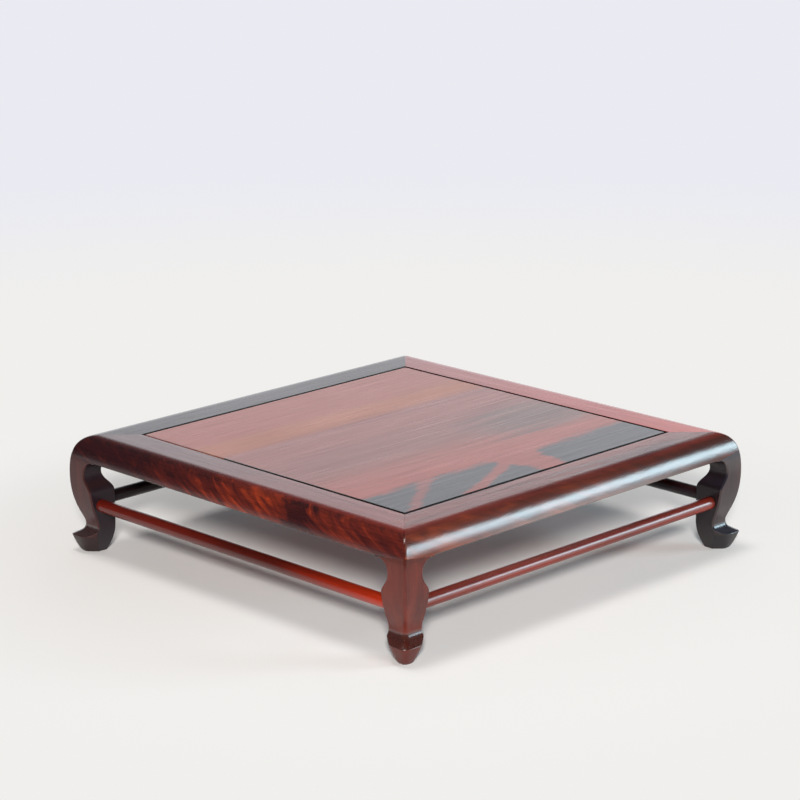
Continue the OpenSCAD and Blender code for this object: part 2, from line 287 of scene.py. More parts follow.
def legLines():  # outer face, inner face and half width across the corner, each against height
    toe, ankle = (halfSide, legs["toeHeight"]), (halfSide - legs["ankleInset"], legs["ankleHeight"])
    outer = curve((halfSide - legs["soleInset"], 0), toe, *legs["toeCurve"])
    outer += curve(toe, ankle, *legs["scoopCurve"])[1:]
    outer += curve(ankle, (halfSide, widestZ), *legs["shankCurve"])[1:]
    outer += noseLine[1:]
    shankIn, neckIn = halfSide - legs["shankWidth"], halfSide - legs["neckWidth"]
    neckZ = railZ - legs["flareDrop"]
    inner = curve((halfSide - legs["soleBack"], 0), (shankIn, legs["ankleHeight"]), *legs["heelCurve"])
    inner += curve((shankIn, legs["kneeHeight"]), (neckIn, neckZ), *legs["neckCurve"])
    for step in range(1, legs["flareSteps"] + 1):
        turn = math.pi / 2 * step / legs["flareSteps"]
        reach = flareIn + (neckIn - flareIn) * math.cos(turn)
        inner.append((reach, neckZ + legs["flareDrop"] * math.sin(turn)))
    foot, ankleZ = legs["footHalf"], legs["ankleHeight"]
    width = curve((legs["soleHalf"], 0), (foot, legs["footSwell"]), *legs["footCurve"])
    width += [(foot, ankleZ), (foot + halfSide, ankleZ + halfSide)]
    return outer, inner, width


def legCorners(lines, z):  # the six corners of a ring, counter-clockwise from the right inner side
    outer, inner, width = (reachAt(line, z) for line in lines)
    outer += (reachAt(legs["frontRound"], z) - legs["frontRound"][-1][0]) * legs["roundMakeUp"]
    cut = min(math.sqrt(2) * width, outer - inner - legs["sideChamfer"])
    return [Vector((inner + cut, inner, z)), Vector((outer, outer - cut, z)), Vector((outer, outer, z)),
            Vector((outer - cut, outer, z)), Vector((inner, inner + cut, z)), Vector((inner, inner, z))]


def trimsAt(z):
    side, front = reachAt(legs["sideRound"], z), reachAt(legs["frontRound"], z)
    return legs["innerRound"], side, front, side, legs["innerRound"], legs["backRound"]


def softRing(corners):  # each corner becomes a few points, so that an arris is round
    trims = trimsAt(corners[0].z)
    marks = []
    for n, corner in enumerate(corners):
        before = (corners[n - 1] - corner).normalized() * trims[n]
        after = (corners[(n + 1) % len(corners)] - corner).normalized() * trims[n]
        last = legs["ringCounts"][n] - 1
        for i in range(last + 1):
            marks.append((n, corner + before * (1 - i / last) ** 2 + after * (i / last) ** 2))
    return marks


def growRing(leg, now, then):  # the selected ring is extruded and its corners move into their new places
    rise = Vector((0, 0, then[0].z - now[0].z))
    extrude(rise)
    mesh = bmesh.from_edit_mesh(leg.data)
    mesh.verts.index_update()
    marks = softRing(now)
    groups = [set() for corner in now]
    for v in mesh.verts:
        if v.select:
            n = min(marks, key=lambda mark: (mark[1] + rise - v.co).length)[0]
            groups[n].add(v.index)
    before, after = trimsAt(now[0].z), trimsAt(then[0].z)
    for n, group in enumerate(groups):
        pick(leg, "verts", lambda v: v.index in group)
        slide(then[n] - now[n] - rise)
        grow = after[n] / before[n]
        if abs(grow - 1) > hair:
            bpy.ops.transform.resize(value=(grow, grow, 1), center_override=tuple(then[n]))
    pick(leg, "verts", lambda v: any(v.index in group for group in groups))


def makeLeg():
    lines = legLines()
    now = legCorners(lines, 0)
    leg = drawLine("legMaster", [point for n, point in softRing(now)])
    fillLine()
    for level in legs["levels"]:
        then = legCorners(lines, level * mm)
        growRing(leg, now, then)
        now = then
    shoulder = legCorners(lines, railZ)
    for corner in shoulder:  # the top slopes up to the outer corner
        corner.z = railZ + shoulderSlope * max(0, min(corner.x, corner.y) - flareIn)
    for n in (1, 2, 3):  # and its outer corners follow the outer face
        reach = reachAt(lines[0], shoulder[n].z)
        if n < 3:
            shoulder[n].x = reach
        if n > 1:
            shoulder[n].y = reach
    growRing(leg, now, shoulder)
    toe, lipFrom = legs["toeHeight"], 2 * halfSide - legs["lipReach"]
    pick(leg, "edges", lambda e: all(abs(v.co.z - toe) < near and v.co.x + v.co.y > lipFrom for v in e.verts))
    bevelEdges(legs["lipRound"], legs["roundParts"])
    pick(leg, "edges", lambda e: all(abs(v.co.z) < hair for v in e.verts))
    bevelEdges(legs["soleRound"], legs["roundParts"])
    turnOutwards()
    return finishPiece(leg)


legMaster = makeLeg()
legPieces = {node: copyOf(legMaster, name, math.radians(degrees)) for name, node, degrees in legs["pieces"]}
removeAll([legMaster])
print("legs: four")


# panel: two boards edge to edge, tongued into the frame, with dovetail slots below

panel = {
    "thickness": 5.5 * mm, "gap": 1 * mm, "tongueReach": 3 * mm, "tongueThickness": 2.3 * mm,
    "joint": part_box("panel_board_narrow")[1].x, "jointWithin": 1 * mm, "topEase": 0.35 * mm, "easeParts": 3,
    "slotSpacing": 76 * mm, "slotNeck": 6.2 * mm, "slotFlare": 0.8 * mm, "slotDepth": 1.7 * mm,
    "slotBelow": 1 * mm,
    "narrowEndCreep": 0.6 * mm, "wideEndCreep": 0.45 * mm,  # the front-left ends have crept towards the frame
}
panelHalf = openingHalf - panel["gap"]
panelZ = topZ - panel["thickness"]


def makeSlotBar(y):
    neck, wide = panel["slotNeck"] / 2, panel["slotNeck"] / 2 + panel["slotFlare"]
    bottom, top = panelZ - panel["slotBelow"], panelZ + panel["slotDepth"]
    section = [(-neck, bottom), (neck, bottom), (neck, panelZ), (wide, top), (-wide, top), (-neck, panelZ)]
    bar = drawLine("slotBar", [(-halfSide, y + a, z) for a, z in section])
    fillLine()
    extrude((2 * halfSide, 0, 0))
    turnOutwards()
    clearSelection()
    return bar


def cutAway(piece, cutter):
    selectOnly(piece)
    bpy.ops.object.modifier_add(type="BOOLEAN")
    piece.modifiers[-1].object = cutter
    bpy.ops.object.modifier_apply(modifier=piece.modifiers[-1].name)


def makeBoard(name, low, high, outSide, frontCreep, jointCreep):
    clearSelection()
    bpy.ops.mesh.primitive_cube_add(size=1, location=((low + high) / 2, 0, (panelZ + topZ) / 2),
                                    scale=(high - low, 2 * panelHalf, panel["thickness"]))
    bpy.ops.object.transform_apply(location=True, rotation=True, scale=True)
    board = openForEdit(name)
    tongueTop = panelZ + panel["tongueThickness"]
    sliceAll((0, 0, tongueTop), (0, 0, 1))
    for way in (Vector((outSide, 0, 0)), Vector((0, 1, 0)), Vector((0, -1, 0))):
        pick(board, "faces", lambda f: f.normal.dot(way) > straightOn
             and f.calc_center_median().z < tongueTop)
        extrude(way * (panel["gap"] + panel["tongueReach"]))

    def atJoint(v, within):
        return abs(v.co.x - panel["joint"]) < within

    for creep, side in ((frontCreep, False), (jointCreep, True)):  # away from the joint, then at it
        pick(board, "verts", lambda v: v.co.z > tongueTop + hair and v.co.y < -panelHalf + near
             and atJoint(v, panel["jointWithin"]) == side)
        slide((0, -creep, 0))
    pick(board, "edges", lambda e: all(v.co.z > topZ - near for v in e.verts)
         and not all(atJoint(v, near) for v in e.verts))
    bevelEdges(panel["topEase"], panel["easeParts"])
    clearSelection()
    return board


slotBars = [makeSlotBar(way * panel["slotSpacing"] / 2) for way in (1, -1)]
boardPieces = {
    "panel_board_wide": makeBoard("boardWide", panel["joint"], panelHalf, 1, 0, panel["wideEndCreep"]),
    "panel_board_narrow": makeBoard("boardNarrow", -panelHalf, panel["joint"], -1, panel["narrowEndCreep"],
                                    panel["narrowEndCreep"]),
}
for board in boardPieces.values():
    for bar in slotBars:
        cutAway(board, bar)
    finishPiece(board)
removeAll(slotBars)
print("panel: two boards")


# stretchers: round bars with a round tenon at each end

stretchers = {
    "sides": 40, "tenonRadius": 1.8 * mm, "tenonLength": 3 * mm, "shoulderEase": 0.2 * mm, "easeParts": 2,
    "rimWidth": 0.1 * mm,
    "pieces": (("stretcherFrontRight", "stretcher_front_right", 0),
               ("stretcherBackRight", "stretcher_back_right", 90),
               ("stretcherBackLeft", "stretcher_back_left", 180),
               ("stretcherFrontLeft", "stretcher_front_left", 270)),
}


def makeStretcher():
    low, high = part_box("stretcher_front_right")
    radius, centre = (high.x - low.x) / 2, (low + high) / 2
    bodyHalf = high.y - stretchers["tenonLength"]
    clearSelection()
    bpy.ops.mesh.primitive_cylinder_add(vertices=stretchers["sides"], radius=radius, depth=2 * bodyHalf,
                                        location=centre, rotation=(math.pi / 2, 0, 0))
    bpy.ops.object.transform_apply(location=True, rotation=True, scale=True)
    bar = openForEdit("stretcherMaster")
    for way in (1, -1):
        pick(bar, "faces", lambda f: f.normal.y * way > straightOn)
        bpy.ops.mesh.inset(thickness=radius - stretchers["tenonRadius"], depth=0)
        extrude((0, way * stretchers["tenonLength"], 0))

    def onRim(v):
        outward = math.hypot(v.co.x - centre.x, v.co.z - centre.z)
        return abs(abs(v.co.y) - bodyHalf) < near and outward > radius - stretchers["rimWidth"]

    pick(bar, "edges", lambda e: all(onRim(v) for v in e.verts))
    bevelEdges(stretchers["shoulderEase"], stretchers["easeParts"])
    return finishPiece(bar)


stretcherMaster = makeStretcher()
stretcherPieces = {node: copyOf(stretcherMaster, name, math.radians(degrees))
                   for name, node, degrees in stretchers["pieces"]}
removeAll([stretcherMaster])
print("stretchers: four")


# materials: red rosewood, planed, oiled and waxed by hand to a satin gloss


def srgb(code):  # a hex colour as linear values
    parts = [int(code[i:i + 2], 16) / 255 for i in (1, 3, 5)]
    return tuple(c / 12.92 if c <= 0.04045 else ((c + 0.055) / 1.055) ** 2.4 for c in parts) + (1.0,)


def addNode(tree, kind, settings=None, links=None):  # one node with its settings and what feeds its sockets
    node = tree.nodes.new("ShaderNode" + kind)
    for key, value in (settings or {}).items():
        if key == "ramp":
            stops = node.color_ramp.elements
            while len(stops) < len(value):
                stops.new(1.0)
            for stop, (position, code) in zip(stops, value):
                stop.position = position
                stop.color = srgb(code)
        elif key == "curve":
            points = node.mapping.curves[0].points
            while len(points) < len(value):
                points.new(0.5, 0.5)
            for point, spot in zip(points, value):
                point.location = spot
            node.mapping.update()
        elif key in ("From", "To"):  # both ends of a range
            for end, number in zip((" Min", " Max"), value):
                node.inputs[key + end].default_value = number
        elif isinstance(key, str) and hasattr(node, key):
            setattr(node, key, value)
        else:
            node.inputs[key].default_value = value
    for key, source in (links or {}).items():
        tree.links.new(source, node.inputs[key])
    return node


def grainScale(grain, width, length):  # mapping scale for streaks of a width and a length in millimetres
    return tuple(1000 / (length if axis == grain else width) for axis in "xyz")


# settings that many nodes share
add, subtract, multiply = {"operation": "ADD"}, {"operation": "SUBTRACT"}, {"operation": "MULTIPLY"}
multiplyAdd, absolute = {"operation": "MULTIPLY_ADD"}, {"operation": "ABSOLUTE"}
softly, inColour = {"interpolation_type": "SMOOTHSTEP"}, {"data_type": "RGBA"}

surface = {  # how the noises turn into colour, gloss and relief
    "noise": {"Scale": 1, "Roughness": 0.55, "Distortion": 0.3},
    "detail": {"band": 3, "vein": 3, "pore": 1, "wave": 1, "dimple": 1},
    "driftRange": (0.3, 0.7), "veinRange": (0.36, 0.62), "veinLight": 1.05, "poreRange": (0.6, 0.72),
    "roughRange": (0.3, 0.7), "roughSpread": 0.04, "poreRelief": 0.3, "dimpleRelief": 0.25,
    "reliefDepth": 0.12 * mm,
}
burnish = {  # where hands have rubbed the wax: from here to there
    "corner": (0.6 * mm, 2 * mm), "endRun": (15 * mm, 65 * mm),  # distances from a corner of the frame
    "edge": (topZ - 0.3 * mm, topZ - 3 * mm), "lowEdge": (railZ + 1.2 * mm, railZ + 3.6 * mm),  # heights
    "hollow": (15 * mm, 13 * mm), "shoulder": (33 * mm, 42 * mm),  # heights on a leg
    "upward": (0.03, 0.3), "underside": (-0.1, 0.25),  # how far a face looks up
}


def rubbedEdge(tree, place, look):  # the outer edge and above all its corners, less so low down by the legs
    sides = addNode(tree, "VectorMath", absolute, {0: place}).outputs[0]
    axes = addNode(tree, "SeparateXYZ", None, {"Vector": sides}).outputs
    away = addNode(tree, "Math", subtract, {0: axes["X"], 1: axes["Y"]}).outputs[0]
    away = addNode(tree, "Math", absolute, {0: away}).outputs[0]
    edge = addNode(tree, "MapRange", {"From": burnish["corner"], "To": (1, look["edgeCoat"])},
                   {"Value": away}).outputs[0]
    low = addNode(tree, "MapRange", {"From": burnish["lowEdge"], "To": (look["endShine"], 1)},
                  {"Value": axes["Z"]}).outputs[0]
    dull = addNode(tree, "MapRange", {"From": burnish["endRun"]}, {"Value": away, "To Min": low}).outputs[0]
    edge = addNode(tree, "Math", multiply, {0: edge, 1: dull}).outputs[0]
    return addNode(tree, "MapRange", {"From": burnish["edge"], "To Min": look["coat"]},
                   {"Value": axes["Z"], "To Max": edge}).outputs[0]


def rubbedFoot(tree, place, look):  # the hollows of the feet
    normal = addNode(tree, "TexCoord").outputs["Normal"]
    upward = addNode(tree, "SeparateXYZ", None, {"Vector": normal}).outputs["Z"]
    height = addNode(tree, "SeparateXYZ", None, {"Vector": place}).outputs["Z"]
    hollow = addNode(tree, "MapRange", {"From": burnish["hollow"], "To": (look["coat"], look["scoopCoat"])},
                     {"Value": height}).outputs[0]
    shoulder = addNode(tree, "MapRange", {"From": burnish["shoulder"],
                                          "To": (look["coat"], look["shoulderCoat"])},
                       {"Value": height}).outputs[0]
    return addNode(tree, "MapRange", {"From": burnish["upward"]},
                   {"Value": upward, "To Min": shoulder, "To Max": hollow}).outputs[0]


def rubbedBar(tree, place, look):  # a bar, but hardly its underside
    normal = addNode(tree, "TexCoord").outputs["Normal"]
    upward = addNode(tree, "SeparateXYZ", None, {"Vector": normal}).outputs["Z"]
    return addNode(tree, "MapRange", {"From": burnish["underside"], "To": (look["underCoat"], look["coat"])},
                   {"Value": upward}).outputs[0]


def rosewood(name, look, figure=None):  # deep red with darker streaks and fine open pores under a waxed gloss
    material = bpy.data.materials.new(name)
    material.use_nodes = True
    tree = material.node_tree
    tree.nodes.clear()
    place = addNode(tree, "TexCoord").outputs["Object"]
    noise = {}
    for part, detail in surface["detail"].items():
        mapped = addNode(tree, "Mapping", {"Scale": grainScale(look["grain"], *look[part]),
                                           "Location": look["shift"]}, {"Vector": place}).outputs[0]
        noise[part] = addNode(tree, "TexNoise", {**surface["noise"], "Detail": detail},
                              {"Vector": mapped}).outputs["Fac"]
    if "across" in look:  # colours laid out along the X axis, with edges that wander along the grain
        low, high = look["across"][0][0] * mm, look["across"][-1][0] * mm
        axes = addNode(tree, "SeparateXYZ", None, {"Vector": place}).outputs
        drift = addNode(tree, "MapRange", {"From": surface["driftRange"],
                                           "To": (-look["wander"], look["wander"])},
                        {"Value": noise["band"]}).outputs[0]
        spot = addNode(tree, "Math", add, {0: axes["X"], 1: drift}).outputs[0]
        tone = addNode(tree, "MapRange", {"From": (low, high)}, {"Value": spot}).outputs[0]
        stops = [((at * mm - low) / (high - low), code) for at, code in look["across"]]
    else:
        tone, stops = noise["band"], look["tones"]
    colour = addNode(tree, "ValToRGB", {"ramp": stops}, {"Fac": tone}).outputs["Color"]
    if figure:
        colour = figure(tree, place, colour, look)
    veins = addNode(tree, "MapRange", {"From": surface["veinRange"],
                                       "To": (1 - look["veinDark"], surface["veinLight"])},
                    {"Value": noise["vein"]}).outputs[0]
    pores = addNode(tree, "MapRange", {"From": surface["poreRange"], "To": (1, 1 - look["poreDark"])},
                    {"Value": noise["pore"]}).outputs[0]
    shade = addNode(tree, "Math", multiply, {0: veins, 1: pores}).outputs[0]
    tint = addNode(tree, "VectorMath", {"operation": "SCALE"}, {0: colour, "Scale": shade}).outputs[0]
    spread = surface["roughSpread"]
    rough = addNode(tree, "MapRange", {"From": surface["roughRange"],
                                       "To": (look["rough"] + spread, look["rough"] - spread)},
                    {"Value": noise["vein"]}).outputs[0]
    relief = addNode(tree, "Math", {**multiplyAdd, 1: surface["poreRelief"]},
                     {0: pores, 2: noise["wave"]}).outputs[0]
    relief = addNode(tree, "Math", {**multiplyAdd, 1: surface["dimpleRelief"]},
                     {0: noise["dimple"], 2: relief}).outputs[0]
    bump = addNode(tree, "Bump", {"Strength": look["bump"], "Distance": surface["reliefDepth"]},
                   {"Height": relief}).outputs[0]
    feeds = {"Base Color": tint, "Roughness": rough, "Normal": bump, "Coat Normal": bump}
    for key, rubbed in (("edgeCoat", rubbedEdge), ("scoopCoat", rubbedFoot), ("underCoat", rubbedBar)):
        if key in look:
            feeds["Coat Weight"] = rubbed(tree, place, look)
    gloss = {"IOR": look["ior"], "Coat Weight": look["coat"], "Coat IOR": look["coatIor"],
             "Coat Roughness": look["coatRough"]}
    wood = addNode(tree, "BsdfPrincipled", gloss, feeds)
    addNode(tree, "OutputMaterial", None, {"Surface": wood.outputs[0]})
    return material


gapShadeLine = {
    "core": 0.6,  # the painted shade is full over this share of its reach
    "closed": 0.4,  # what is left of it where the narrow board has crept up to the frame
}


def paintGapShade(tree, place, colour, look):  # painted shade darkens the joint gap round the panel
    sides = addNode(tree, "VectorMath", absolute, {0: place}).outputs[0]
    axes = addNode(tree, "SeparateXYZ", None, {"Vector": sides}).outputs
    reach = addNode(tree, "Math", {"operation": "MAXIMUM"}, {0: axes["X"], 1: axes["Y"]}).outputs[0]
    away = addNode(tree, "Math", {**subtract, 1: openingHalf - panel["gap"] / 2}, {0: reach}).outputs[0]
    away = addNode(tree, "Math", absolute, {0: away}).outputs[0]
    gapShadeMask = addNode(tree, "MapRange", {**softly, "From": (panel["gap"], panel["gap"] * gapShadeLine["core"])},
                   {"Value": away}).outputs[0]
    if "closed" in look:
        axis, start, end = look["closed"]
        along = addNode(tree, "SeparateXYZ", None, {"Vector": place}).outputs[axis]
        share = addNode(tree, "MapRange", {"From": (start * mm, end * mm), "To": (gapShadeLine["closed"], 1)},
                        {"Value": along}).outputs[0]
        gapShadeMask = addNode(tree, "Math", multiply, {0: gapShadeMask, 1: share}).outputs[0]
    mix = addNode(tree, "Mix", {**inColour, "B": srgb(look["jointDirt"])}, {0: gapShadeMask, "A": colour})
    return mix.outputs[2]


# where a leg's darker parts start and are full: the sole by height, the scoop's end grain and painted shade
# by tilt, the inside faces' painted shade by turn
footParts = {"sole": (10 * mm, 6 * mm), "scoop": (0.03, 0.3), "inside": (-0.2, -0.55)}


def darkerFootAndPaintedShade(tree, place, colour, look):  # darker towards the sole; the scoop darker for end grain and painted shade; the inside faces carry painted shade
    normal = addNode(tree, "TexCoord").outputs["Normal"]
    ray = addNode(tree, "VectorMath", {"operation": "NORMALIZE"}, {0: place}).outputs[0]
    facing = addNode(tree, "VectorMath", {"operation": "DOT_PRODUCT"}, {0: normal, 1: ray}).outputs["Value"]
    upward = addNode(tree, "SeparateXYZ", None, {"Vector": normal}).outputs["Z"]
    height = addNode(tree, "SeparateXYZ", None, {"Vector": place}).outputs["Z"]
    for part, source in (("sole", height), ("scoop", upward), ("inside", facing)):
        mask = addNode(tree, "MapRange", {**softly, "From": footParts[part]}, {"Value": source}).outputs[0]
        mix = addNode(tree, "Mix", {**inColour, "B": srgb(look[part])}, {0: mask, "A": colour})
        colour = mix.outputs[2]
    return colour


heart = {  # black heartwood along one edge of the wide board, in millimetres from the stand's centre
    "edge": 54, "blur": 2.6, "colour": "#2c2d35",
    "wander": 3.4, "wanderSize": (6, 24), "wanderRange": (0.25, 0.75),
    # slope, place, half width at the inner and the outer edge, blur, and the black left in it
    "streaks": ((-0.05, 4.5, 10.5, 4, 4, 0), (2.12, 124, 2.6, 3.2, 5, 0.15), (1.3, 28.5, 1.9, 0.6, 5, 0.35)),
    # a brown cloud beside it: place and size, streaks in it, how ragged they make it, and where it fades
    "smoke": (20, 56, 23, 40), "smokeGrain": (3, 80), "smokeRagged": 1.8, "smokeFade": (2.1, 1.2),
    "smokeColour": "#60352d", "noise": {"Scale": 1, "Detail": 3, "Roughness": 0.6},
}


def heartwood(tree, place, colour, look):
    axes = addNode(tree, "SeparateXYZ", None, {"Vector": place}).outputs
    scale = grainScale("y", *heart["wanderSize"])
    mapped = addNode(tree, "Mapping", {"Scale": scale}, {"Vector": place}).outputs[0]
    noise = addNode(tree, "TexNoise", heart["noise"], {"Vector": mapped}).outputs["Fac"]
    wander = heart["wander"] * mm
    drift = addNode(tree, "MapRange", {"From": heart["wanderRange"], "To": (-wander, wander)},
                    {"Value": noise}).outputs[0]
    spot = addNode(tree, "Math", add, {0: axes["X"], 1: drift}).outputs[0]
    start, end = (heart["edge"] - heart["blur"]) * mm, (heart["edge"] + heart["blur"]) * mm
    dark = addNode(tree, "MapRange", {**softly, "From": (start, end)}, {"Value": spot}).outputs[0]
    for slope, middle, inner, outer, blur, left in heart["streaks"]:  # red streaks that run through the black
        line = addNode(tree, "Math", {**multiplyAdd, 1: slope}, {0: axes["X"], 2: axes["Y"]}).outputs[0]
        line = addNode(tree, "Math", add, {0: line, 1: drift}).outputs[0]
        away = addNode(tree, "Math", {**subtract, 1: middle * mm}, {0: line}).outputs[0]
        away = addNode(tree, "Math", absolute, {0: away}).outputs[0]
        half = addNode(tree, "MapRange", {"From": (heart["edge"] * mm, panelHalf),
                                          "To": (inner * mm, outer * mm)}, {"Value": axes["X"]}).outputs[0]
        beyond = addNode(tree, "Math", subtract, {0: away, 1: half}).outputs[0]
        clear = addNode(tree, "MapRange", {**softly, "From": (0, blur * mm), "To": (left, 1)},
                        {"Value": beyond}).outputs[0]
        dark = addNode(tree, "Math", multiply, {0: dark, 1: clear}).outputs[0]
    x, y, wide, long = (v * mm for v in heart["smoke"])
    patch = addNode(tree, "Mapping", {"vector_type": "TEXTURE", "Location": (x, y, topZ),
                                      "Scale": (wide, long, 1)}, {"Vector": place}).outputs[0]
    reach = addNode(tree, "VectorMath", {"operation": "LENGTH"}, {0: patch}).outputs["Value"]
    scale = grainScale("y", *heart["smokeGrain"])
    streak = addNode(tree, "Mapping", {"Scale": scale}, {"Vector": place}).outputs[0]
    streak = addNode(tree, "TexNoise", heart["noise"], {"Vector": streak}).outputs["Fac"]
    reach = addNode(tree, "Math", {**multiplyAdd, 1: heart["smokeRagged"]}, {0: streak, 2: reach}).outputs[0]
    smoke = addNode(tree, "MapRange", {**softly, "From": heart["smokeFade"]}, {"Value": reach}).outputs[0]
    for mask, code in ((smoke, heart["smokeColour"]), (dark, heart["colour"])):
        colour = addNode(tree, "Mix", {**inColour, "B": srgb(code)}, {0: mask, "A": colour}).outputs[2]
    return paintGapShade(tree, place, colour, look)


flames = {  # slanting figure on the outer faces of the front rails, with its share from one end to the other
    "railFrontLeft": {"along": "X", "turn": (0, math.radians(24), 0), "size": (26 * mm, 7 * mm, 2.3 * mm),
                      "start": 0.05 * mm, "full": 0.7 * mm,
                      "share": ((0, 0.05), (0.2, 0.1), (0.3, 0.3), (0.42, 0.5), (0.52, 0.82), (0.6, 0.84),
                                (0.66, 0.7), (0.685, 0), (0.7, 0), (0.725, 0.5), (0.78, 0.62), (0.86, 0.64),
                                (0.93, 0.55), (1, 0.45)),
                      "tones": ((0.24, "#281215"), (0.44, "#401816"), (0.6, "#5a2018"), (0.8, "#94361c"))},
    "railFrontRight": {"along": "Y", "turn": (math.radians(-24), 0, 0), "size": (9 * mm, 40 * mm, 4.5 * mm),
                       "start": 0.2 * mm, "full": 1.4 * mm,
                       "share": ((0, 0.7), (0.1, 0.72), (0.2, 0.52), (0.32, 0.42), (0.42, 0.54), (0.5, 0.62),
                                 (0.6, 0.46), (0.72, 0.2), (0.85, 0.1), (1, 0.08)),
                       "tones": ((0.25, "#3a1a14"), (0.45, "#552418"), (0.6, "#74321c"), (0.75, "#944620"))},
}
flameParts = {
    "noise": {"Scale": 1, "Detail": 5, "Roughness": 0.6, "Distortion": 0.8},
    "ragged": 0.2, "raggedMiddle": 0.1,  # the share's borders are ragged along the figure
    "shareHeat": 0.5, "cooler": 0.27, "onTop": 0.15, "onFace": 0.92,  # faint on the top face
}


def flamed(flame):
    def figure(tree, place, colour, look):
        axes = addNode(tree, "SeparateXYZ", None, {"Vector": place}).outputs
        slanted = addNode(tree, "Mapping", {"vector_type": "TEXTURE", "Rotation": flame["turn"],
                                            "Scale": flame["size"]}, {"Vector": place}).outputs[0]
        tongue = addNode(tree, "TexNoise", flameParts["noise"], {"Vector": slanted}).outputs["Fac"]
        end = addNode(tree, "MapRange", {"From": (-halfSide, halfSide)},
                      {"Value": axes[flame["along"]]}).outputs[0]
        end = addNode(tree, "Math", {**multiplyAdd, 1: flameParts["ragged"]}, {0: tongue, 2: end}).outputs[0]
        end = addNode(tree, "Math", {**subtract, 1: flameParts["raggedMiddle"]}, {0: end}).outputs[0]
        share = addNode(tree, "FloatCurve", {"curve": flame["share"]}, {"Value": end}).outputs[0]
        heat = addNode(tree, "Math", {**multiplyAdd, 1: flameParts["shareHeat"]},
                       {0: share, 2: tongue}).outputs[0]
        heat = addNode(tree, "Math", {**subtract, 1: flameParts["cooler"]}, {0: heat}).outputs[0]
        fire = addNode(tree, "ValToRGB", {"ramp": flame["tones"]}, {"Fac": heat}).outputs["Color"]
        below = addNode(tree, "MapRange", {"From": (topZ - flame["start"], topZ - flame["full"]),
                                           "To": (flameParts["onTop"], flameParts["onFace"])},
                        {"Value": axes["Z"]}).outputs[0]
        colour = addNode(tree, "Mix", inColour, {0: below, "A": colour, "B": fire}).outputs[2]
        return paintGapShade(tree, place, colour, look)
    return figure


wax = {  # widths and lengths of the streaks in millimetres
    "shift": (0, 0, 0), "band": (7, 120), "vein": (1.0, 45), "veinDark": 0.2, "wander": 1.5 * mm,
    "pore": (0.45, 7), "poreDark": 0.3,  # real pores are about 0.15 mm wide, drawn wider so that they show
    "wave": (4, 14), "dimple": (1.1, 2.2), "bump": 0.3,
    # jointDirt is painted shade in the joint gap round the panel
    "ior": 1.42, "rough": 0.3, "coat": 0.2, "coatRough": 0.12, "coatIor": 1.5, "jointDirt": "#0c0606",
}
railWood = {**wax, "rough": 0.24, "coat": 0.1, "edgeCoat": 0.1, "endShine": 1}
boardWood = {**wax, "grain": "y", "veinDark": 0.16, "poreDark": 0.24, "band": (6, 90), "bump": 0.08}
# the scoop colours here and below are end grain with painted shade, the inside colours are painted shade on
# the legs' inner faces
legWood = {**wax, "grain": "z", "band": (6, 50), "vein": (0.9, 22), "veinDark": 0.12, "rough": 0.34,
           "coat": 0.03, "coatRough": 0.26, "coatIor": 2.4, "scoopCoat": 0.9, "shoulderCoat": 0.03,
           "scoop": "#351c1b", "inside": "#241b20"}
barWood = {**wax, "band": (4, 110)}
# the back bars: the bar wood painted near-black, painted shade for their place under the frame
paintedShadeBar = {**barWood, "coat": 0.02, "tones": ((0.3, "#0e0a0c"), (0.5, "#181012"), (0.7, "#22151a"))}
